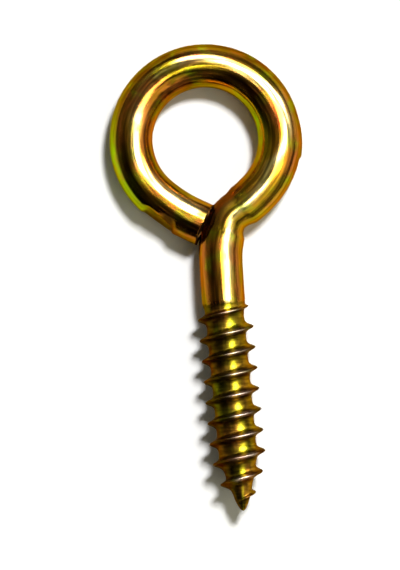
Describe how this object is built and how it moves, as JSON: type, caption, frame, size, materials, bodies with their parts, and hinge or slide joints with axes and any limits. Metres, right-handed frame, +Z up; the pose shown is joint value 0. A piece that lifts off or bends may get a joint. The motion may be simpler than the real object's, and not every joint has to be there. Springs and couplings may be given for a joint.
{
  "type": "screw eye",
  "caption": "Screw eye bent from round steel wire: a closed round eye, a short plain neck and a rolled wood-screw thread ending in a gimlet point, plated in iridescent yellow.",
  "frame": {"origin": "centre of the eye's hole, midway through the wire", "axes": "+Z is up from the surface that the piece lies on, +Y runs from the gimlet point towards the eye; the shank points along -Y and is leaned by about 1.3 degrees, as the piece rests"},
  "size_m": [0.0168, 0.041, 0.005],
  "materials": {
    "plated_steel": "Smooth drawn steel wire, zinc plated and passivated to an iridescent yellow: golden yellow with copper-pink and lime-green tints; the thread is an olive gold and the cut end is duller."
  },
  "bodies": {
    "root": {"screw_eye": "plated_steel"}
  },
  "joints": []
}
